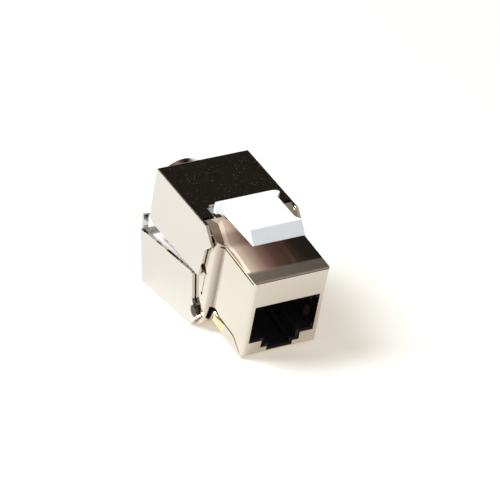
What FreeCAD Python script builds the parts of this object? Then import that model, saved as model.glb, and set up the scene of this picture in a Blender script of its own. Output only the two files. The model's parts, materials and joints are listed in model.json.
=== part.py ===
import FreeCAD, Part
import os
import re
import Sketcher

# Shielded toolless keystone jack.  Millimetres; origin in the middle of the front face, in its plane.
# X runs across the jack, Y from the front face to the cable outlet, Z up.

SIZES = {
    # folded front shield
    "face_width": 14.5,
    "face_height": 16.0,
    "sheet": 0.35,
    "bend": 0.5,
    "box_depth": 10.6,
    "flare_end": 11.7,
    "flare_rise": 1.05,
    "shield_depth": 17.0,
    "ramp_start": 11.2,
    "ramp_end": 16.3,
    "bottom_ramp_start": 10.4,
    "bottom_ramp_end": 13.2,
    "top_ramp_rise": 1.4,
    "bottom_ramp_rise": 2.9,
    "seam": 0.28,
    "lower_flange": 2.25,
    "lower_seam_corner": 3.4,
    "corner_leg": 11.2,
    "corner_leg_width": 0.5,
    "corner_bar": 0.55,
    "cheek_rim": 0.4,
    "cheek_lead": 0.6,
    "slot_relief": 0.25,
    "barb_start": 6.7,
    "barb_end": 9.4,
    "barb_rise": 0.35,
    "barb_height": 0.9,
    # plug opening in the face, measured from the middle of the face
    "port_width": 12.5,
    "port_top": 2.65,
    "port_height": 7.85,
    "step_width": 7.5,
    "step_drop": 1.5,
    "tab_width": 5.0,
    "tab_drop": 0.85,
    # grounding fingers folded in from the sides of the plug opening
    "finger_height": 2.2,
    "finger_pitch": 3.2,
    "finger_length": 3.6,
    "finger_lean": 0.55,
    # spring finger sawn into each flared cheek
    "cheek_slit_y": 13.35,
    "cheek_slit_bottom": 4.3,
    "cheek_notch_y": 12.9,
    "cheek_notch_z": 0.25,
    "cheek_notch": 1.2,
    "cheek_notch_length": 2.5,
    # catch lanced out of the bottom flap
    "catch_width": 7.0,
    "catch_y": 8.6,
    "catch_drop": 1.35,
    # plastic port housing
    "fit": 0.05,
    "housing_depth": 12.9,
    "plug_width": 11.9,
    "plug_top": 2.4,
    "plug_bottom": -5.0,
    "plug_depth": 11.4,
    "key_width": 6.4,
    "key_drop": 1.5,
    "tongue_width": 4.2,
    "tongue_drop": 0.8,
    "key_depth": 9.2,
    "finger_pocket": 0.4,
    # contact springs
    "contact_pitch": 1.02,
    "contact_half": 0.2,
    "contact_level": 3.4,
    "contact_nose": 3.0,
    "contact_tip_y": 11.9,
    "contact_tip_z": -0.35,
    "contact_bend": 0.5,
    "contact_slot": 0.6,
    # circuit board
    "board_thickness": 1.1,
    "board_width": 13.0,
    "board_top": 5.6,
    "board_bottom": -6.4,
    "solder_gap": 0.08,
    "solder_stand": 0.3,
    "solder_relief": 0.45,
    # terminal block and its wire forks
    "block_half_width": 5.3,
    "block_level": -1.0,
    "block_half_height": 4.6,
    "block_tail": 1.4,
    "wire_lead": 2.4,
    "wire_pitch": 2.2,
    "groove_width": 1.3,
    "groove_depth": 1.6,
    "fork_pitch": 2.6,
    "fork_thickness": 0.4,
    "fork_width": 1.7,
    "fork_slit": 0.34,
    "fork_top": 0.25,
    "fork_foot": 1.1,
    "fork_arm": 0.7,
    "tower_reach": 1.1,
    "tower_drop": 1.1,
    "tower_half_width": 5.6,
    "ear_thickness": 0.9,
    # keystone latch
    "latch_front": 9.8,
    "latch_front_rise": 5.25,
    "latch_lip": 11.8,
    "latch_lip_rise": 3.1,
    "latch_front_width": 10.0,
    "latch_rear_width": 12.2,
    "latch_rear": 0.95,
    "latch_rear_rise": 3.2,
    "latch_under_rise": 2.05,
    "latch_leg": 0.65,
    "latch_leg_width": 8.6,
    "latch_shoulder": 1.1,
    "latch_shoulder_rise": 1.8,
    "latch_crown": 0.3,
    "latch_crown_rise": 3.8,
    "latch_dip": 7.6,
    "latch_dip_rise": 4.15,
    "latch_corner": 1.1,
    "latch_wall": 0.9,
    "latch_pin_setback": 3.7,
    "latch_pin_drop": 0.1,
    "latch_pin_radius": 0.6,
    "latch_slot_gap": 0.3,
    "latch_slot_lead": 1.9,
    # hinges
    "hinge_y": 13.8,
    "upper_hinge_drop": 0.6,
    "lower_hinge_drop": 0.3,
    "pin_radius": 0.45,
    "pin_fit": 0.05,
    "knuckle_radius": 0.8,
    "knuckle_inset": 0.1,
    "knuckle_width": 1.0,
    "ear_root": 1.5,
    "boss_radius": 0.8,
    "boss_gap": 0.2,
    # doors, measured from the hinge axis with the parting edge level
    "door_fit": 0.15,
    "door_wall": 0.55,
    "door_corner": 0.2,
    "door_edge": 0.15,
    "upper_door_tilt": -4.2,
    "lower_door_tilt": 13.5,
    "upper_door_rise": 2.1,
    "upper_door_rear_rise": 2.45,
    "upper_door_skirt": 8.4,
    "lower_door_rise": 3.1,
    "lower_door_rear_rise": 2.95,
    "shut_gap": 0.35,
    "door_front": 1.0,
    "door_rear_top": 18.75,
    "upper_door_rear_bottom": 19.3,
    "lower_door_rear_bottom": 19.7,
    "door_nose": 1.6,
    "door_gap": 0.3,
    "front_cut": 3.1,
    "latch_cut_rear": 1.45,
    "latch_cut_side": 0.2,
    "lug_rise": 2.7,
    "lug_width": 1.0,
    # cable collar, one half on each door
    "collar_end": 24.75,
    "collar_rise": 1.8,
    "collar_radius": 4.6,
    "collar_wall": 0.7,
    "collar_lip": 0.7,
    "lip_width": 0.8,
    # wire guides clipped into the doors
    "guide_start": 6.6,
    "guide_end": 17.3,
    "guide_plate": 0.9,
    "rail_start": 3.7,
    "rail_latch_gap": 0.2,
    "rail_side_gap": 0.7,
    "rail_gap": 0.35,
    "comb_slot": 1.2,
    "rail_skin": 0.6,
    "anvil_width": 0.55,
    "upper_anvil_bite": -0.2,
    "lower_anvil_bite": 1.0,
    "anvil_gap": 0.7,
}

# what lines up with another piece takes its place from that piece's sizes
TIED = {
    "flare_width": "face_width + 2 * flare_rise",
    "side_flap_drop": "face_height / 2 - lower_flange",
    "upper_hinge_z": "face_height / 2 - upper_hinge_drop",
    "lower_hinge_z": "-face_height / 2 - lower_hinge_drop",
    "cheek_relief": "hinge_y - boss_radius - cheek_lead",
    "latch_pin_y": "hinge_y + latch_pin_setback",
    "latch_slot_start": "latch_pin_y - latch_slot_lead",
    "latch_pin_z": "face_height / 2 - latch_pin_drop",
    "latch_front_y": "latch_pin_y - latch_front",
    "latch_front_z": "latch_pin_z + latch_front_rise",
    "latch_lip_y": "latch_pin_y - latch_lip",
    "latch_lip_z": "latch_pin_z + latch_lip_rise",
    "latch_rear_y": "latch_pin_y + latch_rear",
    "latch_rear_z": "latch_pin_z + latch_rear_rise",
    "latch_under_z": "latch_pin_z + latch_under_rise",
    "latch_leg_y": "latch_pin_y - latch_leg",
    "latch_shoulder_y": "latch_pin_y - latch_shoulder",
    "latch_shoulder_z": "latch_pin_z + latch_shoulder_rise",
    "latch_crown_y": "latch_pin_y - latch_crown",
    "latch_crown_z": "latch_pin_z + latch_crown_rise",
    "latch_dip_y": "latch_pin_y - latch_dip",
    "latch_dip_z": "latch_pin_z + latch_dip_rise",
    "latch_slot_width": "latch_leg_width + 2 * latch_slot_gap",
    "tower_depth": "latch_pin_y + tower_reach",
    "tower_top": "latch_pin_z - tower_drop",
    "wire_start": "tower_depth + wire_lead",
    "block_end": "wire_start + 3 * wire_pitch + block_tail",
    "knuckle_outer": "face_width / 2 - sheet - fit - knuckle_inset",
    "knuckle_inner": "knuckle_outer - knuckle_width",
    "boss_inner": "knuckle_outer + boss_gap",
    "door_width": "flare_width + 2 * (door_fit + door_wall)",
    "lower_door_skirt": "upper_hinge_z - lower_hinge_z - upper_door_skirt - shut_gap",
    "latch_cut": "latch_rear_y - hinge_y + latch_cut_rear",
    "latch_cut_width": "latch_rear_width + 2 * latch_cut_side",
    "rail_inner": "latch_rear_width / 2 + rail_latch_gap",
    "rail_outer": "door_width / 2 - door_wall - rail_side_gap",
    "upper_anvil_drop": "upper_hinge_z - block_level - block_half_height + upper_anvil_bite",
    "lower_anvil_drop": "block_level - block_half_height - lower_hinge_z + lower_anvil_bite",
}

CONTACTS = 8
WIRES_PER_SIDE = 4

doc = FreeCAD.newDocument("keystone_jack")
sheet = doc.addObject("Spreadsheet::Sheet", "Sizes")
for row, (alias, value) in enumerate(SIZES.items(), start=1):
    sheet.set("A%d" % row, alias)
    sheet.set("B%d" % row, str(value))
    sheet.setAlias("B%d" % row, alias)
doc.recompute()

subparts = []


# ---- small drawing kit: every coordinate is an expression on the sheet ----

def cell(word):
    """A size's cell, or a tied value written out in sizes."""
    name = word.group()
    if name in TIED:
        return "(%s)" % on_sheet(TIED[name])
    return "Sizes." + name if name in SIZES else name


def on_sheet(expression):
    """The expression with each size name pointing at its cell."""
    return re.sub(r"[a-z_]+", cell, str(expression))


def number(expression):
    """The value that an expression has now."""
    return float(sheet.evalExpression(on_sheet(expression)))


def new_body(label):
    body = doc.addObject("PartDesign::Body", label)
    body.Label = label
    return body


def rect(left, low, right, high):
    return [(left, low), (right, low), (right, high), (left, high)]


def bind(sketch, kind, name, where, expression):
    """A named driving dimension on a sketch, tied to the sheet."""
    index = sketch.addConstraint(Sketcher.Constraint(kind, *where, number(expression)))
    sketch.renameConstraint(index, name)
    sketch.setExpression("Constraints." + name, on_sheet(expression))


def draw_outline(sketch, tag, corners, closed=True):
    """A chain of lines through the corners; a third entry in a corner is its rounding radius."""
    first = sketch.GeometryCount
    places = [FreeCAD.Vector(number(corner[0]), number(corner[1]), 0) for corner in corners]
    ends = places[1:] + places[:1] if closed else places[1:]
    for start, end in zip(places, ends):
        sketch.addGeometry(Part.LineSegment(start, end), False)
    lines = len(ends)
    for index in range(lines if closed else lines - 1):
        following = (index + 1) % lines
        sketch.addConstraint(Sketcher.Constraint("Coincident", first + index, 2, first + following, 1))
    for index, corner in enumerate(corners):
        point = (first + index, 1) if index < lines else (first + index - 1, 2)
        bind(sketch, "DistanceX", "%s_across_%d" % (tag, index), (-1, 1) + point, corner[0])
        bind(sketch, "DistanceY", "%s_up_%d" % (tag, index), (-1, 1) + point, corner[1])
    for index, corner in enumerate(corners):
        if len(corner) == 3:
            arc = sketch.GeometryCount
            sketch.fillet(first + (index - 1) % lines, 2, number(corner[2]), 1, True)
            bind(sketch, "Radius", "%s_round_%d" % (tag, index), (arc,), corner[2])


def draw_circle(sketch, tag, across, up, radius):
    circle = sketch.GeometryCount
    centre = FreeCAD.Vector(number(across), number(up), 0)
    sketch.addGeometry(Part.Circle(centre, FreeCAD.Vector(0, 0, 1), number(radius)), False)
    bind(sketch, "DistanceX", tag + "_across", (-1, 1, circle, 3), across)
    bind(sketch, "DistanceY", tag + "_up", (-1, 1, circle, 3), up)
    bind(sketch, "Radius", tag + "_radius", (circle,), radius)


def sketch_on(body, plane, name, loops, place="0", closed=True):
    """A sketch on one of the body's own planes, moved along the plane's axis to place."""
    sketch = body.newObject("Sketcher::SketchObject", name)
    support = [item for item in body.Origin.OriginFeatures if item.Role == plane + "_Plane"][0]
    sketch.AttachmentSupport = [(support, "")]
    sketch.MapMode = "FlatFace"
    facing = "-(%s)" % place if plane == "XZ" else "(%s)" % place
    sketch.setExpression("AttachmentOffset.Base.z", on_sheet(facing))
    for index, loop in enumerate(loops):
        tag = "loop%s" % chr(97 + index)
        if loop[0] == "circle":
            draw_circle(sketch, tag, *loop[1:])
        else:
            draw_outline(sketch, tag, loop, closed)
    return sketch


def prism(body, kind, plane, name, loops, low, high):
    """Adds or cuts the loops' outline between two levels along the plane's axis."""
    doc.recompute()
    before = body.Tip.Shape.Volume if body.Tip else 0.0
    sketch = sketch_on(body, plane, name + "_sketch", loops, "((%s) + (%s)) / 2" % (low, high))
    feature = body.newObject("PartDesign::Pad" if kind == "add" else "PartDesign::Pocket", name)
    feature.Profile = sketch
    feature.SideType = "Symmetric"
    feature.setExpression("Length", on_sheet("(%s) - (%s)" % (high, low)))
    doc.recompute()
    change = feature.Shape.Volume - before
    if change < 1e-6 if kind == "add" else change > -1e-6:
        raise RuntimeError(name + " changes nothing")
    return feature


def pair(inner, outer):
    """The left and the right stretch between two distances from the middle plane."""
    return ("left", ("-(%s)" % outer, "-(%s)" % inner)), ("right", (inner, outer))


def mirror_pair(loop):
    """A loop and its mirror image across the vertical axis of the sketch."""
    flipped = [("-(%s)" % corner[0],) + tuple(corner[1:]) for corner in loop]
    return [loop, flipped]


def straight_edges(feature, axis, along_y=None, along_z=None):
    """Names of a feature's straight edges along an axis whose middle lies at the given levels."""
    names = []
    for index, edge in enumerate(feature.Shape.Edges, start=1):
        box = edge.BoundBox
        spans = {"x": box.XLength, "y": box.YLength, "z": box.ZLength}
        thin = all(spans[other] < 1e-4 for other in spans if other != axis)
        if edge.Curve.TypeId != "Part::GeomLine" or not thin:
            continue
        if along_y is not None and abs(box.Center.y - number(along_y)) > 1e-4:
            continue
        if along_z is not None and abs(abs(box.Center.z) - number(along_z)) > 1e-4:
            continue
        names.append("Edge%d" % index)
    return names


def round_edges(body, feature, name, edges, radius):
    fillet = body.newObject("PartDesign::Fillet", name)
    fillet.Base = (feature, edges)
    fillet.setExpression("Radius", on_sheet(radius))
    return fillet


def join(kind, name, pieces):
    """A document boolean of finished bodies."""
    if kind == "Part::Cut":
        result = doc.addObject(kind, name)
        result.Base, result.Tool = pieces
    else:
        result = doc.addObject(kind, name)
        result.Shapes = pieces
    result.Label = name
    return result


def keep(piece, label):
    piece.Label = label
    subparts.append(piece)
    return piece


# ---- front shield: one nickel-plated blank folded round the port ----

def shield_solid(name, inset, front, rear):
    """The shield's outer form, or the hollow inside it when inset by the sheet."""
    body = new_body(name)
    top = "face_height / 2 - %s" % inset
    side = "face_width / 2 - %s" % inset
    flare = "flare_width / 2 - %s" % inset
    outline = [
        (front, "-(%s)" % top),
        ("bottom_ramp_start", "-(%s)" % top),
        ("bottom_ramp_end", "-(%s + bottom_ramp_rise)" % top),
        (rear, "-(%s + bottom_ramp_rise)" % top),
        (rear, "%s + top_ramp_rise" % top),
        ("ramp_end", "%s + top_ramp_rise" % top),
        ("ramp_start", top),
        (front, top),
    ]
    full = prism(body, "add", "YZ", name + "_side_form", [outline], "-(%s)" % flare, flare)
    doc.recompute()
    trim = [
        (side, "-2"),
        ("flare_width", "-2"),
        ("flare_width", "flare_end"),
        (flare, "flare_end"),
        (side, "box_depth"),
    ]
    height = "face_height + bottom_ramp_rise"
    form = prism(body, "cut", "XY", name + "_plan_form", mirror_pair(trim), "-(%s)" % height, height)
    doc.recompute()
    radius = "bend - %s" % inset
    round_edges(body, form, name + "_bends", straight_edges(form, "x", along_y=front)
                + straight_edges(form, "z", along_y=front), radius)
    return body


def shield_openings():
    """Everything that is punched or left open in the blank, as one tool."""
    body = new_body("shield_openings")
    top = "face_height / 2"
    inner = "face_height / 2 - sheet"
    port_low = "port_top - port_height"
    port = [
        ("port_width / 2", "port_top"),
        ("port_width / 2", port_low),
        ("step_width / 2", port_low),
        ("step_width / 2", port_low + " - step_drop"),
        ("tab_width / 2", port_low + " - step_drop"),
        ("tab_width / 2", port_low + " - step_drop - tab_drop"),
        ("-tab_width / 2", port_low + " - step_drop - tab_drop"),
        ("-tab_width / 2", port_low + " - step_drop"),
        ("-step_width / 2", port_low + " - step_drop"),
        ("-step_width / 2", port_low),
        ("-port_width / 2", port_low),
        ("-port_width / 2", "port_top"),
    ]
    prism(body, "add", "XZ", "plug_opening", [port], "-1", "sheet + 0.1")
    reach = "flare_width / 2 + 1"
    upper_seam = rect("bend", inner + " - seam", "ramp_start", inner)
    # above the hinge the cheek is cut away from under the top flap's ramp
    ramp_under = "top_ramp_rise / (ramp_end - ramp_start)"
    relief_top = inner + " + %s * (cheek_relief - ramp_start)" % ramp_under
    hinge_relief = [
        ("cheek_relief", "upper_hinge_z - boss_radius - slot_relief"),
        ("shield_depth + 1", "upper_hinge_z - boss_radius - slot_relief"),
        ("shield_depth + 1", inner + " + top_ramp_rise"),
        ("ramp_end", inner + " + top_ramp_rise"),
        ("cheek_relief", relief_top),
    ]
    drop = "-side_flap_drop"
    lower_seam = [
        ("bend", "-(%s)" % inner),
        ("bend + seam", "-(%s)" % inner),
        ("lower_seam_corner + seam / 2", drop + " - seam"),
        ("box_depth - 2", drop + " - seam"),
        ("box_depth - 2", drop),
        ("lower_seam_corner", drop),
    ]
    # where side flap, bottom flange and flared cheek part, the seam forks into a bar and a leg
    corner_gap = [
        ("box_depth - 2.2", drop + " - seam"),
        ("box_depth - 2.2", drop),
        ("box_depth - 0.75", drop + " + corner_bar"),
        ("corner_leg", drop + " + corner_bar / 3"),
        ("corner_leg + 0.2", "-(%s) - 0.6" % inner),
        ("corner_leg + 0.2 - corner_leg_width", "-(%s) - 0.6" % inner),
        ("corner_leg - 1.3 * corner_leg_width", drop + " - corner_bar"),
        ("box_depth - 0.8", drop),
    ]
    # below the hinge the cheek is cut away round the door's boss, down to a rim over the bottom ramp
    lower_relief = [
        ("hinge_y - 0.6", "lower_hinge_z + boss_radius + 1.2"),
        ("hinge_y - boss_radius - slot_relief", "lower_hinge_z + boss_radius + 0.4"),
        ("hinge_y - boss_radius - cheek_rim", "lower_hinge_z - 0.2"),
        ("hinge_y + boss_radius", "-(%s + bottom_ramp_rise)" % inner),
        ("shield_depth + 1", "-(%s + bottom_ramp_rise)" % inner),
        ("shield_depth + 1", "lower_hinge_z - boss_radius - 1"),
    ]
    notch_top = "cheek_notch_z + cheek_notch / 2"
    notch_low = "cheek_notch_z - cheek_notch / 2"
    notch_end = "cheek_notch_y + cheek_notch_length"
    notch = [
        ("cheek_notch_y", notch_low + " + 0.5"),
        (notch_end, notch_low),
        (notch_end, notch_top),
        ("cheek_notch_y + 0.9", notch_top + " + 0.5"),
    ]
    slit = rect("cheek_slit_y", "-cheek_slit_bottom", "cheek_slit_y + seam / 2", "cheek_notch_z")
    round_end = ("circle", "cheek_slit_y + seam / 2", "-cheek_slit_bottom", "seam")
    cuts = {
        "upper_seam": upper_seam,
        "hinge_relief": hinge_relief,
        "lower_seam": lower_seam,
        "corner_gap": corner_gap,
        "lower_relief": lower_relief,
        "cheek_notch_cut": notch,
        "cheek_slit": slit,
        "slit_end": round_end,
    }
    for name, loop in cuts.items():
        prism(body, "add", "YZ", name, [loop], "-(%s)" % reach, reach)
    latch_way = rect("-latch_slot_width / 2", "latch_slot_start", "latch_slot_width / 2", "shield_depth + 1")
    prism(body, "add", "XY", "latch_way", [latch_way], inner + " - 0.2", top + " + top_ramp_rise + 1")
    rear_end = rect("-(%s)" % reach, "ramp_end", reach, "shield_depth + 1")
    prism(body, "add", "XY", "top_flap_end", [rear_end], inner + " - 0.2", top + " + top_ramp_rise + 1")
    prism(body, "add", "XY", "bottom_flap_end", [rear_end],
          "-(%s + bottom_ramp_rise + 1)" % top, "-(%s)" % inner)
    window = rect("-catch_width / 2 - seam", "catch_y - 0.4", "catch_width / 2 + seam", "box_depth - 0.2")
    prism(body, "add", "XY", "catch_window", [window], "-(%s + 0.3)" % top, "-(%s - 0.1)" % inner)
    return body


def shield_tabs():
    """Tabs bent out of the blank: grounding fingers in the plug opening and the panel catch below."""
    body = new_body("shield_tabs")
    edge = "port_width / 2"
    for place, level in (("upper", "0.5"), ("lower", "-0.5")):
        middle = "port_top - port_height / 2 + %s * finger_pitch" % level
        finger = [
            (edge, "0"),
            (edge, "finger_length * 0.55"),
            (edge + " - finger_lean", "finger_length * 0.8"),
            (edge + " - finger_lean * 0.6", "finger_length"),
            (edge + " - finger_lean * 0.6 + sheet * 0.7", "finger_length"),
            (edge + " - finger_lean + sheet", "finger_length * 0.82"),
            (edge + " + sheet", "finger_length * 0.6"),
            (edge + " + sheet", "0"),
        ]
        prism(body, "add", "XY", place + "_fingers", mirror_pair(finger),
              "%s - finger_height / 2" % middle, "%s + finger_height / 2" % middle)
    low = "-face_height / 2"
    catch = [
        ("box_depth", low),
        ("catch_y", low + " - catch_drop"),
        ("catch_y - 0.2", low + " - catch_drop + 0.25"),
        ("box_depth - 0.4", low + " + sheet"),
        ("box_depth", low + " + sheet"),
    ]
    prism(body, "add", "YZ", "panel_catch", [catch], "-catch_width / 2", "catch_width / 2")
    side = "face_width / 2"
    barb = [
        (side + " - sheet / 2", "barb_start"),
        (side, "barb_start"),
        (side + " + barb_rise", "barb_end - 0.3"),
        (side + " + barb_rise", "barb_end"),
        (side + " - sheet / 2", "barb_end"),
    ]
    barb_top = "-side_flap_drop - 1.5 * seam"
    prism(body, "add", "XY", "corner_barbs", mirror_pair(barb), barb_top + " - barb_height", barb_top)
    return body


def front_shield():
    outer = shield_solid("shield_outer", "0", "0", "shield_depth")
    core = shield_solid("shield_core", "sheet", "sheet", "shield_depth + 1")
    shell = join("Part::Cut", "shield_shell", (outer, core))
    blank = join("Part::Cut", "shield_blank", (shell, shield_openings()))
    keep(join("Part::MultiFuse", "shield_with_tabs", [blank, shield_tabs()]), "front_shield")


# ---- port housing: black plastic moulding that takes the plug ----

def contact_place(index):
    return "(%s) * contact_pitch" % (index - (CONTACTS - 1) / 2)


def port_housing():
    body = new_body("port_housing")
    side = "face_width / 2 - sheet - fit"
    top = "face_height / 2 - sheet - fit"
    prism(body, "add", "XZ", "housing_block", [rect("-(%s)" % side, "-(%s)" % top, side, top)],
          "sheet + fit", "housing_depth")
    doc.recompute()
    front = "sheet"
    plug = rect("-plug_width / 2", "plug_bottom", "plug_width / 2", "plug_top")
    prism(body, "cut", "XZ", "plug_cavity", [plug], front, "plug_depth")
    key = rect("-key_width / 2", "plug_bottom - key_drop", "key_width / 2", "plug_bottom + 0.1")
    prism(body, "cut", "XZ", "key_channel", [key], front, "key_depth")
    tongue = rect("-tongue_width / 2", "plug_bottom - key_drop - tongue_drop",
                  "tongue_width / 2", "plug_bottom - key_drop + 0.1")
    prism(body, "cut", "XZ", "tongue_channel", [tongue], front, "key_depth")
    finger_reach = "port_width / 2 + finger_pocket"
    finger_low = "port_top - port_height / 2 - finger_pitch / 2 - finger_height / 2 - 0.2"
    finger_high = "port_top - port_height / 2 + finger_pitch / 2 + finger_height / 2 + 0.2"
    pockets = mirror_pair(rect("plug_width / 2 - 0.1", finger_low, finger_reach, finger_high))
    prism(body, "cut", "XZ", "finger_pockets", pockets, front, "finger_length + 0.3")
    slots = []
    for index in range(CONTACTS):
        middle = contact_place(index)
        slots.append(rect(middle + " - contact_slot / 2", "plug_top - 0.1",
                          middle + " + contact_slot / 2", "contact_level + contact_half + solder_gap"))
    slot_start = "contact_nose - contact_bend - 0.4"
    prism(body, "cut", "XZ", "contact_slots", slots, slot_start, "housing_depth + 0.1")
    combs = []
    for index in range(CONTACTS):
        middle = contact_place(index)
        combs.append(rect(middle + " - contact_slot / 2", "contact_tip_z - 1.1",
                          middle + " + contact_slot / 2", "contact_tip_z + 1.1"))
    prism(body, "cut", "XZ", "comb_slots", combs, "plug_depth - 0.1", "housing_depth - solder_relief - 0.2")
    tails = rect("-1.5 * fork_pitch - fork_arm", "block_level - fork_foot - fork_arm",
                 "1.5 * fork_pitch + fork_arm", "block_level + fork_foot + fork_arm")
    prism(body, "cut", "XZ", "fork_tail_relief", [tails],
          "housing_depth - solder_relief", "housing_depth + 0.1")
    for place, level, out in (("upper", "upper_hinge_z", "1"), ("lower", "lower_hinge_z", "-1")):
        crown = "%s + %s * knuckle_radius" % (level, out)
        heel = "%s - %s * knuckle_radius * 1.5" % (level, out)
        ear = [
            ("housing_depth - ear_root", "%s - %s * knuckle_radius" % (level, out)),
            ("hinge_y - knuckle_radius / 4", crown, "knuckle_radius / 4"),
            ("hinge_y + knuckle_radius", crown, "knuckle_radius * 0.95"),
            ("hinge_y + knuckle_radius", heel, "knuckle_radius * 0.4"),
            ("housing_depth - ear_root", heel),
        ]
        for name, ends in pair("knuckle_inner", "knuckle_outer"):
            prism(body, "add", "YZ", "%s_%s_knuckle" % (place, name), [ear], *ends)
        doc.recompute()
        prism(body, "cut", "YZ", place + "_pin_bore", [("circle", "hinge_y", level, "pin_radius")],
              "-knuckle_outer - 0.1", "knuckle_outer + 0.1")
    keep(body, "port_housing")


def contact_spring(index):
    """Gold strip from the board, forward over the plug, back down into the comb."""
    label = "contact_spring_%d" % (index + 1)
    body = new_body(label)
    start = "housing_depth + fit + board_thickness + solder_stand"
    path = [
        (start, "contact_level"),
        ("contact_nose - contact_bend * 0.5", "contact_level", "contact_bend"),
        ("contact_nose + contact_bend * 0.4", "contact_level - 1.7", "contact_bend"),
        ("contact_tip_y", "contact_tip_z"),
    ]
    spine = sketch_on(body, "YZ", label + "_path", [path], contact_place(index), closed=False)
    middle = contact_place(index)
    section = rect(middle + " - contact_half", "contact_level - contact_half",
                   middle + " + contact_half", "contact_level + contact_half")
    profile = sketch_on(body, "XZ", label + "_section", [section], start)
    wire = body.newObject("PartDesign::AdditivePipe", label + "_wire")
    wire.Profile = profile
    wire.Spine = (spine, [])
    keep(body, label)


# ---- circuit board and terminal block ----

def wire_place(index):
    return "wire_start + %d * wire_pitch" % index


def fork_place(index):
    order = (0, 2, 1, 3)[index]
    return "(%s) * fork_pitch" % (order - (WIRES_PER_SIDE - 1) / 2)


def arm_level(side):
    return "block_level + %s * fork_foot" % side


def circuit_board():
    body = new_body("circuit_board")
    front = "housing_depth + fit"
    back = "housing_depth + fit + board_thickness"
    prism(body, "add", "XZ", "board_plate",
          [rect("-board_width / 2", "board_bottom", "board_width / 2", "board_top")], front, back)
    doc.recompute()
    holes = []
    for index in range(CONTACTS):
        holes.append(("circle", contact_place(index), "contact_level", "contact_half * 1.5 + solder_gap / 2"))
    prism(body, "cut", "XZ", "contact_holes", holes, front + " - 0.1", back + " + 0.1")
    holes = []
    for side in ("1", "-1"):
        for index in range(WIRES_PER_SIDE):
            radius = "fork_arm * 0.58 + solder_gap"
            holes.append(("circle", fork_place(index), arm_level(side), radius))
    prism(body, "cut", "XZ", "fork_holes", holes, front + " - 0.1", back + " + 0.1")
    keep(body, "circuit_board")


def fork_outline(index, side, grow):
    """Levels of one fork's blade and arm, grown all round: left, right, inner and outer."""
    middle = wire_place(index)
    foot = arm_level(side)
    left = "%s - fork_width / 2 - %s" % (middle, grow)
    right = "%s + fork_width / 2 + %s" % (middle, grow)
    inner = "%s - (%s) * (fork_arm / 2 + %s)" % (foot, side, grow)
    outer = "%s + (%s) * (fork_arm / 2 + %s)" % (foot, side, grow)
    return left, right, inner, outer


def terminal_fork(index, side_name, side):
    """An insulation-displacement fork: two tines over a stem, and an arm to the board."""
    label = "%s_fork_%d" % (side_name, index + 1)
    body = new_body(label)
    left, right, inner, outer = fork_outline(index, side, "0")
    middle = wire_place(index)
    face = "block_level + (%s) * (block_half_height - fork_top)" % side
    tail = "housing_depth + fit - solder_stand"
    slit_foot = "%s - (%s) * (groove_depth + 0.5)" % (face, side)
    outline = [
        (tail, inner),
        (right, inner),
        (right, face),
        (middle + " + fork_slit", face),
        (middle + " + fork_slit / 2", "%s - (%s) * 0.3" % (face, side)),
        (middle + " + fork_slit / 2", slit_foot),
        (middle + " - fork_slit / 2", slit_foot),
        (middle + " - fork_slit / 2", "%s - (%s) * 0.3" % (face, side)),
        (middle + " - fork_slit", face),
        (left, face),
        (left, outer),
        (tail, outer),
    ]
    low = fork_place(index) + " - fork_thickness / 2"
    high = fork_place(index) + " + fork_thickness / 2"
    prism(body, "add", "YZ", label + "_blade", [outline], low, high)
    keep(body, label)


def terminal_block():
    body = new_body("terminal_block")
    front = "housing_depth + 2 * fit + board_thickness"
    low = "block_level - block_half_height"
    high = "block_level + block_half_height"
    half = "block_half_width"
    prism(body, "add", "YZ", "block_body", [rect(front, low, "block_end", high)], "-" + half, half)
    tower = rect(front, "%s - 0.5" % high, "tower_depth", "tower_top")
    prism(body, "add", "YZ", "latch_tower", [tower], "-tower_half_width", "tower_half_width")
    ear = [
        ("latch_pin_y - 1.1", "tower_top - 0.5"),
        ("tower_depth", "tower_top - 0.5"),
        ("tower_depth", "latch_pin_z + 1.0", "0.8"),
        ("latch_pin_y - 1.1", "latch_pin_z + 1.0", "0.8"),
    ]
    for name, ends in pair("tower_half_width - ear_thickness", "tower_half_width"):
        prism(body, "add", "YZ", name + "_ear", [ear], *ends)
    doc.recompute()
    tails = rect("-4 * contact_pitch", "contact_level - 0.5", "4 * contact_pitch", "contact_level + 0.5")
    prism(body, "cut", "XZ", "contact_tail_relief", [tails], front + " - 0.1", front + " + solder_relief")
    prism(body, "cut", "YZ", "latch_bore",
          [("circle", "latch_pin_y", "latch_pin_z", "latch_pin_radius + pin_fit")],
          "-tower_half_width - 0.1", "tower_half_width + 0.1")
    for side_name, side, face in (("upper", "1", high), ("lower", "-1", low)):
        for index in range(WIRES_PER_SIDE):
            middle = wire_place(index)
            outside = "%s + (%s) * 0.2" % (face, side)
            shoulder = "%s - (%s) * 0.4" % (face, side)
            floor = "%s - (%s) * groove_depth" % (face, side)
            groove = [
                (middle + " - groove_width / 2 - 0.2", outside),
                (middle + " - groove_width / 2", shoulder),
                (middle + " - groove_width / 2", floor),
                (middle + " + groove_width / 2", floor),
                (middle + " + groove_width / 2", shoulder),
                (middle + " + groove_width / 2 + 0.2", outside),
            ]
            prism(body, "cut", "YZ", "%s_groove_%d" % (side_name, index + 1), [groove],
                  "-%s - 0.1" % half, half + " + 0.1")
            left, right, inner, outer = fork_outline(index, side, "fit")
            slot = [
                (front + " - 0.1", inner),
                (right, inner),
                (right, outside),
                (left, outside),
                (left, outer),
                (front + " - 0.1", outer),
            ]
            thick = "fork_thickness / 2 + fit"
            prism(body, "cut", "YZ", "%s_fork_slot_%d" % (side_name, index + 1), [slot],
                  "%s - (%s)" % (fork_place(index), thick), "%s + %s" % (fork_place(index), thick))
    keep(body, "terminal_block")


# ---- keystone latch: white plastic lever over the top flap ----

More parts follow.
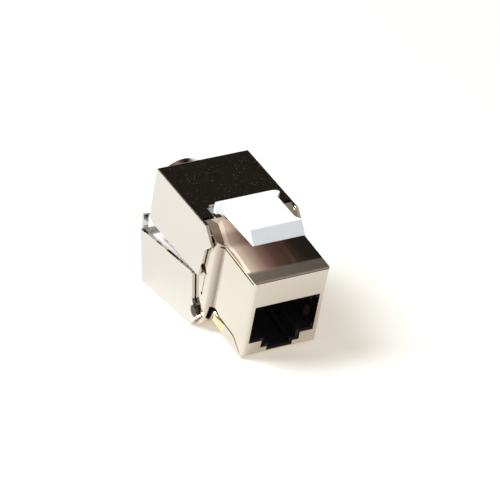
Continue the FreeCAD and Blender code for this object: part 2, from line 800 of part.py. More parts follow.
def keystone_latch():
    body = new_body("keystone_latch")
    half = "latch_rear_width / 2"
    slab = [
        ("latch_front_y", "latch_front_z", "0.2"),
        ("latch_lip_y", "latch_lip_z", "0.15"),
        ("latch_leg_y", "latch_under_z"),
        ("latch_leg_y", "latch_shoulder_z"),
        ("latch_rear_y", "latch_shoulder_z"),
        ("latch_rear_y", "latch_rear_z", "0.25"),
        ("latch_crown_y", "latch_crown_z", "0.6"),
        ("latch_dip_y", "latch_dip_z", "0.8"),
    ]
    prism(body, "add", "YZ", "latch_slab", [slab], "-(%s)" % half, half)
    front_half = "latch_front_width / 2"
    beyond = half + " + 1"
    trim = [
        (front_half, "latch_lip_y - 1"),
        (beyond, "latch_lip_y - 1"),
        (beyond, "latch_rear_y + 1"),
        (half + " - 2 * latch_corner", "latch_rear_y + 1"),
        (half + " - 2 * latch_corner", "latch_rear_y"),
        (half, "latch_rear_y", "latch_corner"),
        (half, "latch_shoulder_y + 0.6"),
        (front_half, "latch_shoulder_y - 0.5"),
    ]
    prism(body, "cut", "XY", "latch_plan", mirror_pair(trim), "latch_pin_z", "latch_front_z + 1")
    leg_half = "latch_leg_width / 2"
    leg = [
        ("latch_leg_y", "latch_shoulder_z + 0.1"),
        ("latch_leg_y", "latch_pin_z"),
        ("latch_pin_y", "latch_pin_z - 0.85"),
        ("latch_pin_y + 0.8", "latch_pin_z"),
        ("latch_rear_y - 0.1", "latch_shoulder_z + 0.1"),
    ]
    prism(body, "add", "YZ", "latch_leg", [leg], "-(%s)" % leg_half, leg_half)
    trunnion = [("circle", "latch_pin_y", "latch_pin_z", "latch_pin_radius")]
    prism(body, "add", "YZ", "latch_trunnions", trunnion, "0.1 - tower_half_width", "tower_half_width - 0.1")
    doc.recompute()
    core = rect("latch_wall - latch_front_width / 2", "latch_lip_y + latch_wall + 0.3",
                "latch_front_width / 2 - latch_wall", "latch_leg_y - latch_wall")
    prism(body, "cut", "XY", "latch_core", [core], "latch_under_z - 1", "latch_under_z + 0.45")
    keep(body, "keystone_latch")


# ---- hinge pins ----

def hinge_pin(label, level):
    body = new_body(label)
    reach = "door_width / 2 - door_wall - 0.05"
    rod = [("circle", "hinge_y", level, "pin_radius")]
    prism(body, "add", "YZ", label + "_rod", rod, "-(%s)" % reach, reach)
    keep(body, label)


# ---- rear doors: plated shells, drawn about their hinge axis with the parting edge level ----

def place_on_hinge(piece, side):
    """Turns a door part about its hinge; the lower door is the upper one rolled over."""
    if side == "upper":
        piece.setExpression("Placement.Base.z", on_sheet("upper_hinge_z"))
        piece.Placement.Rotation = FreeCAD.Rotation(FreeCAD.Vector(1, 0, 0), number("upper_door_tilt"))
    else:
        roll = FreeCAD.Rotation(FreeCAD.Vector(0, 1, 0), 180)
        tilt = FreeCAD.Rotation(FreeCAD.Vector(1, 0, 0), -number("lower_door_tilt"))
        piece.Placement.Rotation = tilt.multiply(roll)
        piece.setExpression("Placement.Base.z", on_sheet("lower_hinge_z"))
    piece.setExpression("Placement.Base.y", on_sheet("hinge_y"))


def door_outline(side):
    """Side view of a door's outer form."""
    rise = "%s_door_rise" % side
    rear_rise = "%s_door_rear_rise" % side
    rear = "%s_door_rear_bottom" % side
    edge = "-%s_door_skirt" % side
    bevel = {
        "upper": [(rear, edge + " + 0.6"), (rear + " - 1.2", edge)],
        "lower": [(rear, edge)],
    }
    front = {
        "upper": [
            ("door_front + 0.45", edge, "0.5"),
            ("0.8", "-5.9"),
            ("0.35", "-2.6"),
            ("-door_nose", "-0.5"),
        ],
        "lower": [
            ("door_front", edge, "0.4"),
            ("0.75", "-2"),
            ("0", "-0.4"),
            ("-door_nose", "0.4"),
        ],
    }
    return [("door_front", rise), ("door_rear_top", rear_rise, "door_edge")] + bevel[side] + front[side]


def door_hollow(side):
    """The hollow inside that form, open to the front and to the other door."""
    roof = "%s_door_rise - door_wall" % side
    rear_roof = "%s_door_rear_rise - door_wall" % side
    rear = "%s_door_rear_bottom - door_wall" % side
    below = "-%s_door_skirt - 1" % side
    return [
        ("-door_nose - 1", roof),
        ("door_front", roof),
        ("door_rear_top - door_wall", rear_roof),
        (rear, below),
        ("-door_nose - 1", below),
    ]


def long_top_edges(form):
    """Names of the edges that run along a door's skin from front to rear."""
    names = []
    for index, edge in enumerate(form.Shape.Edges, start=1):
        box = edge.BoundBox
        if box.YLength > 10 and box.XLength < 1e-4 and box.Center.z > 0:
            names.append("Edge%d" % index)
    return names


def cable_collar(body, side):
    """A flanged tube whose axis lies just inside the upper door, split at the parting edge."""
    bore = "collar_radius - collar_wall"
    axis = "%s collar_rise - %s_door_skirt" % ("" if side == "upper" else "-", side)
    start = "door_rear_top - 0.2"
    mouth = [("circle", "0", axis, bore)]
    prism(body, "cut", "XZ", side + "_cable_mouth", mouth,
          start + " - door_wall", "%s_door_rear_bottom + 1" % side)
    collar = [
        (start, bore),
        ("collar_end", bore),
        ("collar_end", "collar_radius + collar_lip"),
        ("collar_end - lip_width", "collar_radius + collar_lip"),
        ("collar_end - lip_width", "collar_radius"),
        (start, "collar_radius"),
    ]
    sketch = sketch_on(body, "YZ", side + "_collar_sketch", [collar])
    sketch.setExpression("AttachmentOffset.Base.y", on_sheet(axis))
    turn = body.newObject("PartDesign::Revolution", side + "_collar")
    turn.Profile = sketch
    turn.ReferenceAxis = (sketch, ["H_Axis"])
    turn.Angle = 360
    doc.recompute()
    parting = "door_gap / 2 - %s_door_skirt" % side
    below = rect("-door_width / 2", parting + " - 8", "door_width / 2", parting)
    prism(body, "cut", "XZ", side + "_parting", [below], start + " - door_wall", "collar_end + 1")


def door_shell(side):
    body = new_body(side + "_door")
    half = "door_width / 2"
    inner = "door_width / 2 - door_wall"
    form = prism(body, "add", "YZ", side + "_door_form", [door_outline(side)], "-" + half, half)
    doc.recompute()
    round_edges(body, form, side + "_door_long_edges", long_top_edges(form), "door_corner")
    doc.recompute()
    prism(body, "cut", "YZ", side + "_door_hollow", [door_hollow(side)], "-(%s)" % inner, inner)
    skin = "%s_door_rise - door_wall - 0.2" % side
    over = "%s_door_rise + 0.6" % side
    cut = rect("-(%s)" % inner, "-door_nose - 1", inner, "front_cut")
    prism(body, "cut", "XY", side + "_front_cut", [cut], skin, over)
    if side == "upper":
        cut = rect("-latch_cut_width / 2", "0", "latch_cut_width / 2", "latch_cut")
        prism(body, "cut", "XY", "latch_cut_out", [cut], skin, over)
    for name, ends in pair("boss_inner", inner + " + 0.1"):
        prism(body, "add", "YZ", "%s_%s_boss" % (side, name), [("circle", "0", "0", "boss_radius")], *ends)
    doc.recompute()
    bore = [("circle", "0", "0", "pin_radius + pin_fit")]
    prism(body, "cut", "YZ", side + "_hinge_bore", bore, "-(%s)" % inner, inner)
    cable_collar(body, side)
    if side == "lower":
        edge = "-lower_door_skirt"
        outside = "door_width / 2 - 0.3"
        lug = rect(outside + " - lug_width", edge + " - lug_rise", outside, edge + " + 2")
        prism(body, "add", "XZ", "snap_lugs", mirror_pair(lug),
              "lower_door_rear_bottom - door_wall", "lower_door_rear_bottom")
    place_on_hinge(body, side)
    keep(body, side + "_door")


def wire_guide(side):
    """White insert: a plate under the door's skin, two comb rails and four pressing anvils."""
    label = side + "_wire_guide"
    body = new_body(label)
    skirt = "%s_door_skirt" % side
    level = {"upper": "upper_door_rise", "lower": "lower_door_rear_rise"}[side]
    roof = "%s - door_wall - fit" % level
    plate = "%s - guide_plate" % roof
    floor = "rail_gap - %s" % skirt
    rail = rect("rail_start", floor, "guide_end", roof)
    for name, ends in pair("rail_inner", "rail_outer"):
        prism(body, "add", "YZ", "%s_%s_rail" % (side, name), [rail], *ends)
    base = rect("-rail_inner - 0.1", "guide_start", "rail_inner + 0.1", "guide_end")
    prism(body, "add", "XY", side + "_guide_plate", [base], plate, roof)
    drop = "%s_anvil_drop" % side
    for index in range(WIRES_PER_SIDE):
        near = "%s - hinge_y - anvil_width / 2" % wire_place(index)
        far = "%s - hinge_y + anvil_width / 2" % wire_place(index)
        blade = fork_place(index) if side == "upper" else "-(%s)" % fork_place(index)
        ribs = [
            rect("-rail_inner - 0.1", near, "%s - anvil_gap / 2" % blade, far),
            rect("%s + anvil_gap / 2" % blade, near, "rail_inner + 0.1", far),
        ]
        prism(body, "add", "XY", "%s_anvil_%d" % (side, index + 1), ribs, "-" + drop, plate + " + 0.1")
    doc.recompute()
    slots = []
    for index in range(WIRES_PER_SIDE):
        middle = "%s - hinge_y" % wire_place(index)
        slots.append(rect("%s - comb_slot / 2" % middle, floor + " - 1", "%s + comb_slot / 2" % middle,
                          "-" + drop + " + 0.6"))
    for name, ends in pair("rail_inner - 0.1", "rail_outer - rail_skin"):
        prism(body, "cut", "YZ", "%s_%s_comb" % (side, name), slots, *ends)
    place_on_hinge(body, side)
    keep(body, label)


# ---- build ----

front_shield()
port_housing()
for number_of_contact in range(CONTACTS):
    contact_spring(number_of_contact)
circuit_board()
terminal_block()
for side_name, side_sign in (("upper", "1"), ("lower", "-1")):
    for fork_index in range(WIRES_PER_SIDE):
        terminal_fork(fork_index, side_name, side_sign)
keystone_latch()
hinge_pin("upper_hinge_pin", "upper_hinge_z")
hinge_pin("lower_hinge_pin", "lower_hinge_z")
for door_side in ("upper", "lower"):
    door_shell(door_side)
    wire_guide(door_side)
doc.recompute()

for item in doc.Objects:
    if "Invalid" in item.State or "Error" in item.State:
        raise RuntimeError("%s did not build: %s" % (item.Label, item.State))
for piece in subparts:
    if piece.Shape.isNull() or not piece.Shape.isValid() or len(piece.Shape.Solids) != 1:
        raise RuntimeError("%s is not one valid solid" % piece.Label)

os.makedirs("parts", exist_ok=True)
for piece in subparts:
    piece.Shape.exportStep("parts/%s.step" % piece.Label)
    box = piece.Shape.BoundBox
    print("%-20s volume %8.2f  x %6.2f %6.2f  y %6.2f %6.2f  z %6.2f %6.2f" % (
        piece.Label, piece.Shape.Volume, box.XMin, box.XMax, box.YMin, box.YMax, box.ZMin, box.ZMax))
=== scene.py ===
import json

import bpy
from mathutils import Matrix, Vector

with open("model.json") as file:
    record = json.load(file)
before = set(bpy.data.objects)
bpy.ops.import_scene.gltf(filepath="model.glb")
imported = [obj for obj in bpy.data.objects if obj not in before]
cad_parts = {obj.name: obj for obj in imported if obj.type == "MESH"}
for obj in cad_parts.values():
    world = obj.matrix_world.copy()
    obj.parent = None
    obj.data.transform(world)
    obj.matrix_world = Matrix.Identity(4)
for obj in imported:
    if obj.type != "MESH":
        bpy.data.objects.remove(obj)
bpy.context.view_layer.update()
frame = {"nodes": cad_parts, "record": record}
node = frame["nodes"]


# ---- front shield -------------------------------------------------------------------------
# One blank of thin steel, folded into a box round the port, its flared cheeks and ramps bent
# outwards to the rear doors. Nickel plated before it is cut, so the sheared edges look yellower.

def give(tree, socket, value):
    """Gives one input its value: another node's socket is linked to it, anything else is set."""
    if isinstance(value, bpy.types.NodeSocket):
        tree.links.new(value, socket)
    elif socket.type == "RGBA":
        socket.default_value = tuple(value) + (1.0,) * (4 - len(value))
    else:
        socket.default_value = value


def feed(tree, made, **inputs):
    """Gives a node its inputs by name, and hands the node back."""
    for label, value in inputs.items():
        give(tree, made.inputs[label.replace("_", " ")], value)
    return made


def add(tree, kind, **inputs):
    """A new shader node with its inputs given by name."""
    return feed(tree, tree.nodes.new("ShaderNode" + kind), **inputs)


def maths(tree, operation, *values, clamp=False):
    """The result of a Math node on up to three values."""
    made = tree.nodes.new("ShaderNodeMath")
    made.operation = operation
    made.use_clamp = clamp
    for index, value in enumerate(values):
        give(tree, made.inputs[index], value)
    return made.outputs[0]


def vector_maths(tree, operation, *vectors):
    """A Vector Math node on up to two vectors."""
    made = tree.nodes.new("ShaderNodeVectorMath")
    made.operation = operation
    for index, vector in enumerate(vectors):
        give(tree, made.inputs[index], vector)
    return made


def axes(tree, vector):
    """The X, Y and Z of a vector."""
    return tuple(add(tree, "SeparateXYZ", Vector=vector).outputs)


def object_place(tree):
    """Where a point of the surface lies, in metres from the centre of the jack's front face."""
    return add(tree, "TexCoord").outputs["Object"]


def surface_normal(tree):
    """Which way the surface faces."""
    return add(tree, "NewGeometry").outputs["Normal"]


def new_group(name, inputs, outputs):
    """An empty shader node group with its sockets; gives back the tree and its two end nodes."""
    tree = bpy.data.node_groups.new(name, "ShaderNodeTree")
    for label, kind, value in inputs:
        tree.interface.new_socket(name=label, in_out="INPUT", socket_type=kind).default_value = value
    for label in outputs:
        tree.interface.new_socket(name=label, in_out="OUTPUT", socket_type="NodeSocketFloat")
    return tree, tree.nodes.new("NodeGroupInput"), tree.nodes.new("NodeGroupOutput")


def plating_grain_group(pit_fall=3.0):
    """Rolled sheet under plating: faint streaks along one direction, soft clouds and tiny pits."""
    tree, start, end = new_group(
        "plating_grain",
        [("Stretch", "NodeSocketVector", (900.0, 60.0, 900.0)), ("Cloud Scale", "NodeSocketFloat", 140.0),
         ("Pit Scale", "NodeSocketFloat", 900.0), ("Pit Share", "NodeSocketFloat", 0.1)],
        ["Streak", "Cloud", "Pit"])
    place = object_place(tree)
    drawn_out = add(tree, "Mapping", Vector=place, Scale=start.outputs["Stretch"])
    streak = add(tree, "TexNoise", Vector=drawn_out.outputs[0], Scale=1.0, Detail=3.0)
    cloud = add(tree, "TexNoise", Vector=place, Scale=start.outputs["Cloud Scale"], Detail=4.0,
                Roughness=0.6)
    cells = add(tree, "TexVoronoi", Vector=place, Scale=start.outputs["Pit Scale"])
    lot = add(tree, "SeparateColor", Color=cells.outputs["Color"])
    chosen = maths(tree, "LESS_THAN", lot.outputs[0], start.outputs["Pit Share"])
    off_middle = maths(tree, "MULTIPLY", cells.outputs["Distance"], pit_fall)
    dot = maths(tree, "SUBTRACT", 1.0, off_middle, clamp=True)
    feed(tree, end, Streak=streak.outputs[0], Cloud=cloud.outputs[0],
         Pit=maths(tree, "MULTIPLY", chosen, dot))
    return tree


def worn_edges_group():
    """How near a point is to a sharp outer edge, from 0 on the flat to 1 on the edge itself."""
    tree, start, end = new_group(
        "worn_edges", [("Reach", "NodeSocketFloat", 0.00025), ("Strength", "NodeSocketFloat", 4.0)],
        ["Edge"])
    rounded = add(tree, "Bevel", Radius=start.outputs["Reach"])
    rounded.samples = 4
    alike = vector_maths(tree, "DOT_PRODUCT", rounded.outputs[0], surface_normal(tree))
    turned = maths(tree, "SUBTRACT", 1.0, alike.outputs["Value"])
    feed(tree, end, Edge=maths(tree, "MULTIPLY", turned, start.outputs["Strength"], clamp=True))
    return tree


def crease_shade_group(name, own_only):
    """How open a point is to the air: 1 on a bare flat, falling to 0 down in seams and pockets; it is used
    to paint shade into them.
    """
    tree, start, end = new_group(
        name, [("Reach", "NodeSocketFloat", 0.0009), ("Bite", "NodeSocketFloat", 1.3)], ["Open"])
    nearby = add(tree, "AmbientOcclusion", Distance=start.outputs["Reach"])
    nearby.samples = 6
    nearby.only_local = own_only
    feed(tree, end, Open=maths(tree, "POWER", nearby.outputs["AO"], start.outputs["Bite"]))
    return tree


plating_grain = plating_grain_group()
worn_edges = worn_edges_group()
crease_shade = crease_shade_group("crease_shade", own_only=False)
pocket_shade = crease_shade_group("pocket_shade", own_only=True)


def place_group(tree, group, **values):
    """A group in a material, with its own values on its inputs."""
    made = tree.nodes.new("ShaderNodeGroup")
    made.node_tree = group
    return feed(tree, made, **values)


def blend_colour(tree, amount, first, second):
    """A Mix node between two colours; any of the three values may be a socket."""
    mix = tree.nodes.new("ShaderNodeMix")
    mix.data_type = "RGBA"
    inputs = {socket.identifier: socket for socket in mix.inputs}
    for key, value in (("Factor_Float", amount), ("A_Color", first), ("B_Color", second)):
        give(tree, inputs[key], value)
    return next(socket for socket in mix.outputs if socket.identifier == "Result_Color")


def new_material(name, **values):
    """A Principled material with constant values on the shader's own sockets."""
    material = bpy.data.materials.new(name)
    material.use_nodes = True
    tree = material.node_tree
    return material, tree, feed(tree, tree.nodes["Principled BSDF"], **values)


def tree_and_shader(material):
    """A finished material's own nodes, for more work on it."""
    return material.node_tree, material.node_tree.nodes["Principled BSDF"]


def raise_grain(tree, shader, height, strength, depth=0.00002):
    """Gives a surface its relief, up to a fiftieth of a millimetre deep."""
    relief = add(tree, "Bump", Strength=strength, Distance=depth, Height=height)
    feed(tree, shader, Normal=relief.outputs[0])


def plated_metal(name, clean, deep, edge, rough, rough_spread, stretch, bump, shade_depth=0.3,
                 pit_scale=900.0, pit_share=0.0, pit_rough=0.0, shade_group=crease_shade, reach=0.0009):
    """Nickel plate: two tones of the same metal, yellow cut edges, painted brown shade in seams and
    pockets, and a fine grain.
    """
    material, tree, shader = new_material(name, Metallic=1.0)
    grain = place_group(tree, plating_grain, Stretch=stretch, Pit_Scale=pit_scale, Pit_Share=pit_share)
    wear = place_group(tree, worn_edges)
    openness = place_group(tree, shade_group, Reach=reach)
    # Painted shade: where the occlusion mask closes in, the colour falls to a dark brown shade colour.
    shade_tint = (1.0, 0.86, 0.70)
    shade_colour = tuple(shade_depth * part * tint for part, tint in zip(deep, shade_tint))
    tone = blend_colour(tree, grain.outputs["Cloud"], clean, deep)
    toned = blend_colour(tree, wear.outputs["Edge"], tone, edge)
    streaked = maths(tree, "MULTIPLY_ADD", grain.outputs["Streak"], rough_spread, rough)
    feed(tree, shader, Base_Color=blend_colour(tree, openness.outputs["Open"], shade_colour, toned),
         Roughness=maths(tree, "MULTIPLY_ADD", grain.outputs["Pit"], pit_rough, streaked))
    raise_grain(tree, shader, grain.outputs["Streak"], bump)
    return material


def all_of(tree, first, *others):
    """Masks and amounts multiplied together."""
    for other in others:
        first = maths(tree, "MULTIPLY", first, other)
    return first


def stain_and_shade(tree, shader, mask, colour, strength=1.0, rougher=0.0):
    """Lays a colour over the base colour where the mask says, for real stains and for painted shade and
    reflections alike; it may roughen the surface too.
    """
    amount = mask if strength == 1.0 else all_of(tree, mask, strength)
    plain = shader.inputs["Base Color"].links[0].from_socket
    feed(tree, shader, Base_Color=blend_colour(tree, amount, plain, colour))
    if rougher:
        smooth = shader.inputs["Roughness"].links[0].from_socket
        feed(tree, shader, Roughness=maths(tree, "MULTIPLY_ADD", mask, rougher, smooth))


def between(tree, value, low, high, soft):
    """1 where the value lies between two limits, with soft ends."""
    bands = []
    for start, end in ((low - soft, low + soft), (high + soft, high - soft)):
        band = add(tree, "MapRange", Value=value, From_Min=start, From_Max=end)
        band.interpolation_type = "SMOOTHSTEP"
        bands.append(band.outputs[0])
    return all_of(tree, *bands)


def falling(tree, value, full, gone):
    """1 where the value is at its first limit or short of it, 0 from its second limit on."""
    slope = 1.0 / (full - gone)
    return maths(tree, "MULTIPLY_ADD", value, slope, -gone * slope, clamp=True)


def dress(names, material):
    """Gives CAD nodes a finished material in place of the record's plain one."""
    for name in names:
        for slot in node[name].material_slots:
            slot.material = material


def shade_and_stain_sheet(tree, shader, place, facing, top):
    """Painted shade on the jogs, the front face and the top's rear bend, yellow barbs, and a painted dark
    reflection along the top's front brim.
    """
    x, y, z = place
    _, facing_y, facing_z = facing
    off_middle = maths(tree, "ABSOLUTE", x)
    cheek_side, barb_side, barb_top = 0.00728, 0.0069, -0.0061
    front_shade_foot, front_shade_rate = -0.010, 26.0
    dead_ahead, upwards = -0.95, 0.9

    jog_shade = all_of(tree, between(tree, y, 0.0095, 0.0118, soft=0.0002),
                 maths(tree, "GREATER_THAN", off_middle, cheek_side),
                 falling(tree, off_middle, full=0.0075, gone=0.0085))
    barb = all_of(tree, between(tree, y, 0.0066, 0.0096, soft=0.0001),
                  maths(tree, "LESS_THAN", z, barb_top),
                  maths(tree, "GREATER_THAN", off_middle, barb_side))
    front_shade = all_of(tree, maths(tree, "LESS_THAN", facing_y, dead_ahead),
                   maths(tree, "MULTIPLY_ADD", z, front_shade_rate, -front_shade_foot * front_shade_rate, clamp=True))
    bend_shade = all_of(tree, between(tree, y, 0.0100, 0.0132, soft=0.0008),
                  maths(tree, "GREATER_THAN", facing_z, upwards))
    brim_reflection = all_of(tree, between(tree, y, -0.001, 0.0028, soft=0.0005), top)

    # Painted shade: the jogs, the front face (more towards its top) and the top's rear bend are darkened;
    # the brim's dark band is a painted reflection, and rougher too. The barbs are tinted yellow.
    stain_and_shade(tree, shader, jog_shade, (0.31, 0.245, 0.19), strength=0.92)
    stain_and_shade(tree, shader, barb, (0.86, 0.78, 0.48))
    stain_and_shade(tree, shader, front_shade, (0.56, 0.49, 0.40))
    stain_and_shade(tree, shader, bend_shade, (0.33, 0.27, 0.23), strength=0.7)
    stain_and_shade(tree, shader, brim_reflection, (0.20, 0.20, 0.17), strength=0.85, rougher=0.38)


def crown_sheet(tree, shader, place, top):
    """Bends the top flap's light as if it were crowned across and rolled over at its front."""
    x, y, _ = place
    front_crown, rear_crown = 14.0, 7.0
    rim_depth, rim_roll = 0.0008, 60.0

    near_front = falling(tree, y, full=0.0085, gone=0.0115)
    crown = maths(tree, "MULTIPLY_ADD", near_front, front_crown - rear_crown, rear_crown)
    into_rim = maths(tree, "MINIMUM", maths(tree, "SUBTRACT", y, rim_depth), 0.0)
    tilt = add(tree, "CombineXYZ", X=all_of(tree, x, crown, top), Y=all_of(tree, into_rim, rim_roll, top))
    crowned = vector_maths(tree, "ADD", surface_normal(tree), tilt.outputs[0])
    relief = shader.inputs["Normal"].links[0].from_node
    feed(tree, relief, Normal=vector_maths(tree, "NORMALIZE", crowned.outputs[0]).outputs[0])


def bent_sheet():
    """The folded blank: bright plate with painted shade where it was bent and on its front face, and a
    crowned top flap.
    """
    material = plated_metal(
        "nickel_sheet_plate", clean=(0.735, 0.715, 0.620), deep=(0.765, 0.695, 0.600),
        edge=(0.84, 0.71, 0.45), rough=0.05, rough_spread=0.05, stretch=(2600.0, 120.0, 2600.0), bump=0.03)
    tree, shader = tree_and_shader(material)
    place = axes(tree, object_place(tree))
    facing = axes(tree, surface_normal(tree))
    nearly_level = 0.985
    top = maths(tree, "GREATER_THAN", facing[2], nearly_level)
    shade_and_stain_sheet(tree, shader, place, facing, top)
    crown_sheet(tree, shader, place, top)
    return material


dress(["front_shield"], bent_sheet())


# ---- port housing -------------------------------------------------------------------------
# A black moulding pushed into the shield from behind; its cavity takes the plug, and its rear
# ears carry the hinge pins.

def moulded_plastic(name, colour, shade, rough, grain_scale, bump, rough_spread=0.15,
                    tone_scale=160.0, **values):
    """Moulded plastic: a fine spark-eroded skin with slow, faint changes of tone."""
    material, tree, shader = new_material(name, **values)
    place = object_place(tree)
    skin = add(tree, "TexNoise", Vector=place, Scale=grain_scale, Detail=4.0).outputs[0]
    tone = add(tree, "TexNoise", Vector=place, Scale=tone_scale).outputs[0]
    feed(tree, shader, Base_Color=blend_colour(tree, tone, colour, shade),
         Roughness=maths(tree, "MULTIPLY_ADD", skin, rough_spread, rough))
    raise_grain(tree, shader, skin, bump)
    return material


dress(["port_housing"], moulded_plastic(
    "black_housing_plastic", colour=(0.006, 0.006, 0.007), shade=(0.010, 0.010, 0.011),
    rough=0.42, grain_scale=6000.0, bump=0.2))


# ---- contact springs ----------------------------------------------------------------------
# Eight gold-flashed bronze strips, soldered into the board behind the housing; each runs
# forward over the plug cavity and back down into the housing's comb.

dress(["contact_spring_%d" % number for number in range(1, 9)], plated_metal(
    "gold_flash", clean=(0.90, 0.66, 0.28), deep=(0.82, 0.57, 0.20), edge=(0.95, 0.76, 0.40),
    rough=0.16, rough_spread=0.10, stretch=(900.0, 900.0, 900.0), bump=0.05))


# ---- circuit board ------------------------------------------------------------------------
# Glass-fibre board under green solder mask, held upright between the housing and the terminal
# block; it takes the springs' feet from the front and the forks' arms from behind.

def board_material():
    """Solder mask over glass cloth; the weave just shows through it."""
    material, tree, shader = new_material("green_board", Coat_Weight=0.4, Coat_Roughness=0.15)
    weave = add(tree, "TexWave", Vector=object_place(tree), Scale=1400.0, Distortion=0.6).outputs["Fac"]
    hollow_green, thread_green = (0.018, 0.13, 0.055), (0.026, 0.17, 0.075)
    hollow_rough, thread_rough = 0.32, 0.42
    feed(tree, shader, Base_Color=blend_colour(tree, weave, hollow_green, thread_green),
         Roughness=maths(tree, "MULTIPLY_ADD", weave, thread_rough - hollow_rough, hollow_rough))
    raise_grain(tree, shader, weave, strength=0.2)
    return material


dress(["circuit_board"], board_material())


# ---- terminal block and wire forks --------------------------------------------------------
# A black moulding behind the board, grooved across for each wire, with a tinned blade in every
# groove that cuts through the wire's insulation.

dress(["terminal_block"], moulded_plastic(
    "black_terminal_plastic", colour=(0.008, 0.008, 0.009), shade=(0.013, 0.013, 0.014),
    rough=0.45, grain_scale=5000.0, bump=0.2))
dress(["%s_fork_%d" % (side, number) for side in ("upper", "lower") for number in range(1, 5)],
      plated_metal("tin_plate", clean=(0.78, 0.78, 0.76), deep=(0.70, 0.70, 0.68), edge=(0.84, 0.80, 0.70),
                   rough=0.24, rough_spread=0.12, stretch=(900.0, 900.0, 900.0), bump=0.08))


# ---- keystone latch -----------------------------------------------------------------------
# A white moulded nylon lever over the top flap, turning on two trunnions in the terminal
# block's ears; it snaps behind the panel's edge and is pressed to let go.

def set_ramp(made, stops):
    """Gives a Color Ramp node its stops, each a position and a colour."""
    while len(made.color_ramp.elements) < len(stops):
        made.color_ramp.elements.new(0.5)
    for element, (position, colour) in zip(made.color_ramp.elements, stops):
        element.position = position
        element.color = colour + (1.0,)


def latch_plastic():
    """White nylon. Seen in reflections, its underside is a painted reflection: black under a warm emission
    that runs from pale pink to dark across it, standing in for light that comes up off the metal. Its
    left-facing sides glow faintly, a painted glow.
    """
    material = moulded_plastic(
        "white_latch_plastic", colour=(0.97, 0.98, 0.99), shade=(0.95, 0.965, 0.985), rough=0.34,
        grain_scale=4000.0, bump=0.06, Subsurface_Weight=0.15, Subsurface_Radius=(0.002, 0.002, 0.002))
    tree, shader = tree_and_shader(material)
    x, _, _ = axes(tree, object_place(tree))
    facing_x, _, facing_z = axes(tree, surface_normal(tree))
    under_turn, glow_turn, painted_side_glow = 0.3, -0.3, 0.22
    warm_width = 0.010
    black, white = (0.0, 0.0, 0.0), (1.0, 1.0, 1.0)

    # Painted reflection: the underside is black for glossy rays and emits the warm ramp instead.
    under = maths(tree, "LESS_THAN", facing_z, under_turn)
    painted_reflection = all_of(tree, under, add(tree, "LightPath").outputs["Is Glossy Ray"])
    stain_and_shade(tree, shader, painted_reflection, black)
    glow = add(tree, "ValToRGB", Fac=maths(tree, "MULTIPLY_ADD", x, 1.0 / warm_width, 0.5))
    set_ramp(glow, ((0.05, (0.80, 0.66, 0.60)), (0.20, (0.52, 0.39, 0.35)),
                    (0.40, (0.25, 0.155, 0.135)), (0.62, (0.115, 0.062, 0.050)),
                    (0.84, (0.070, 0.034, 0.028))))
    # Painted glow: faces turned to the left emit faintly white.
    glow_side = maths(tree, "LESS_THAN", facing_x, glow_turn)
    feed(tree, shader, Emission_Color=blend_colour(tree, painted_reflection, white, glow.outputs[0]),
         Emission_Strength=maths(tree, "MAXIMUM", painted_reflection, all_of(tree, glow_side, painted_side_glow)))
    return material


dress(["keystone_latch"], latch_plastic())


# ---- hinge pins ---------------------------------------------------------------------------
# Two plain ground steel pins across the jack, pushed through the housing's ears and the doors'
# bosses; each door turns on one.

dress(["upper_hinge_pin", "lower_hinge_pin"], plated_metal(
    "ground_pin_steel", clean=(0.62, 0.61, 0.59), deep=(0.54, 0.53, 0.51), edge=(0.70, 0.68, 0.64),
    rough=0.22, rough_spread=0.16, stretch=(400.0, 3000.0, 3000.0), bump=0.1))


# ---- rear doors ---------------------------------------------------------------------------
# Die-cast shells, nickel plated: the upper one is shut over its wires, the lower one stands
# ajar. Their skins are smooth, with a few specks in the plating; their hollows and the lower bosses are
# darkened with painted shade.

def door_plate():
    """Cast plate that is darkened with painted shade round the lower bosses, where they turn on their pin.
    """
    material = plated_metal(
        "nickel_cast_plate", clean=(0.715, 0.712, 0.662), deep=(0.755, 0.690, 0.630),
        edge=(0.88, 0.82, 0.70), rough=0.05, rough_spread=0.04, stretch=(500.0, 200.0, 500.0), bump=0.02,
        pit_scale=2900.0, pit_share=0.3, pit_rough=0.29, shade_group=pocket_shade, reach=0.0024)
    tree, shader = tree_and_shader(material)
    _, y, z = axes(tree, object_place(tree))
    pin = next(joint["pos_m"] for joint in frame["record"]["behaviour"]["joints"]
               if joint["name"] == "lower_door_hinge")
    from_pin = [maths(tree, "SUBTRACT", place, centre) for place, centre in zip((y, z), pin[1:])]
    squares = [maths(tree, "MULTIPLY", way, way) for way in from_pin]
    radius = maths(tree, "SQRT", maths(tree, "ADD", *squares))
    boss_shade = falling(tree, radius, full=0.00095, gone=0.0012)
    # Painted shade: the lower bosses round their pin are drawn dark brown, and rougher.
    stain_and_shade(tree, shader, boss_shade, (0.11, 0.085, 0.065), rougher=0.35)
    return material


dress(["upper_door", "lower_door"], door_plate())


# ---- wire guides --------------------------------------------------------------------------
# White moulded inserts clipped inside the doors; as a door shuts, their ribs press the wires
# down into the forks.

# The guides glow faintly white: a painted glow that stands in for light inside the plastic.
dress(["upper_wire_guide", "lower_wire_guide"], moulded_plastic(
    "white_guide_plastic", colour=(0.95, 0.95, 0.945), shade=(0.92, 0.92, 0.915), rough=0.38,
    grain_scale=5000.0, bump=0.1, Emission_Color=(1.0, 1.0, 1.0), Emission_Strength=0.12))


# ---- table, room and camera ---------------------------------------------------------------
# The jack lies on its lower door and the front box's bottom edge, so the table slopes against
# the jack's own axes.

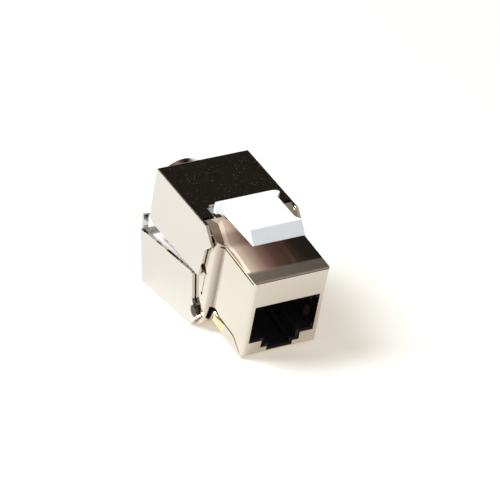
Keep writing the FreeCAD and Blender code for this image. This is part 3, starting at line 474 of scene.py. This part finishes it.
rest_front = Vector((0.0, 0.0, -0.0084))
rest_rear = Vector((0.0, 0.0313, -0.01562))
table_half = 0.5
across = Vector((table_half, 0.0, 0.0))
along = (rest_rear - rest_front).normalized() * table_half
middle = (rest_front + rest_rear) / 2
table_mesh = bpy.data.meshes.new("table")
table_mesh.from_pydata([middle - across - along, middle + across - along, middle + across + along,
                        middle - across + along], [], [(0, 1, 2, 3)])
table = bpy.data.objects.new("table", table_mesh)
bpy.context.scene.collection.objects.link(table)


def table_material():
    """White paper that the camera sees as white in straight light, and that is clear from below."""
    material, tree, shader = new_material("white_table", Base_Color=(0.58, 0.64, 0.70), Roughness=0.9,
                                          Specular_IOR_Level=0.0)
    ray = add(tree, "LightPath").outputs
    seen = maths(tree, "MAXIMUM", ray["Is Camera Ray"], ray["Is Glossy Ray"])
    seen = maths(tree, "MAXIMUM", seen, ray["Is Transmission Ray"])
    mirrored_glow, camera_glow = (0.44, 0.36, 0.28), (0.50, 0.43, 0.33)
    warmth = blend_colour(tree, ray["Is Camera Ray"], mirrored_glow, camera_glow)
    glow = add(tree, "Emission", Color=warmth, Strength=seen)
    paper = tree.nodes.new("ShaderNodeAddShader")
    give(tree, paper.inputs[0], shader.outputs[0])
    give(tree, paper.inputs[1], glow.outputs[0])
    one_sided = tree.nodes.new("ShaderNodeMixShader")
    give(tree, one_sided.inputs[0], add(tree, "NewGeometry").outputs["Backfacing"])
    give(tree, one_sided.inputs[1], paper.outputs[0])
    give(tree, one_sided.inputs[2], add(tree, "BsdfTransparent").outputs[0])
    feed(tree, tree.nodes["Material Output"], Surface=one_sided.outputs[0])
    return material


table_mesh.materials.append(table_material())

world = bpy.data.worlds.new("studio")
bpy.context.scene.world = world
world.use_nodes = True
sky = world.node_tree
_, _, height = axes(sky, add(sky, "TexCoord").outputs["Generated"])
walls = add(sky, "ValToRGB", Fac=height)
walls.color_ramp.interpolation = "EASE"
set_ramp(walls, ((0.10, (0.95, 0.94, 0.92)), (0.40, (0.021, 0.020, 0.017)),
                 (0.548, (0.019, 0.017, 0.014)), (0.575, (0.055, 0.030, 0.027)),
                 (0.600, (0.090, 0.048, 0.040)), (0.626, (0.16, 0.093, 0.075)),
                 (0.652, (0.34, 0.22, 0.19)), (0.680, (0.50, 0.39, 0.35)),
                 (0.720, (0.52, 0.44, 0.40)), (0.850, (0.30, 0.25, 0.22))))
even_grey, plain_white = (0.30, 0.30, 0.30), (1.0, 1.0, 1.0)
ray = add(sky, "LightPath").outputs
room = blend_colour(sky, ray["Is Diffuse Ray"], walls.outputs[0], even_grey)
shown = blend_colour(sky, ray["Is Camera Ray"], room, plain_white)
feed(sky, sky.nodes["Background"], Color=shown, Strength=1.0)

jack_middle = Vector((0.0, 0.012, 0.0))


def soft_lamp(name, place, size, power, tint):
    """A square softbox that faces the jack."""
    data = bpy.data.lights.new(name, "AREA")
    data.size = size
    data.energy = power
    data.color = tint
    lamp = bpy.data.objects.new(name, data)
    lamp.location = place
    lamp.rotation_mode = "QUATERNION"
    lamp.rotation_quaternion = (jack_middle - lamp.location).to_track_quat("-Z", "Y")
    bpy.context.scene.collection.objects.link(lamp)


soft_lamp("key", Vector((-0.30, 0.27, 0.42)), size=0.28, power=3.3, tint=(1.0, 0.99, 0.97))
soft_lamp("fill", Vector((-0.10, -0.55, 0.30)), size=0.40, power=1.0, tint=(0.91, 0.97, 1.0))

camera_data = bpy.data.cameras.new("camera")
camera_data.sensor_width = 36.0
camera_data.lens = 257.385
camera_data.clip_start = 0.01
camera_data.clip_end = 10.0
camera = bpy.data.objects.new("camera", camera_data)
stand = Vector((-0.27774, -0.377, 0.37534))
right = Vector((0.868485, -0.47145, 0.153194))
up = Vector((0.190621, 0.602892, 0.774716))
back = Vector((-0.457599, -0.643628, 0.613471))
turn = Matrix((right, up, back)).transposed()
camera.matrix_world = Matrix.Translation(stand) @ turn.to_4x4()
bpy.context.scene.collection.objects.link(camera)
bpy.context.scene.camera = camera
bpy.context.scene.view_settings.view_transform = "Standard"
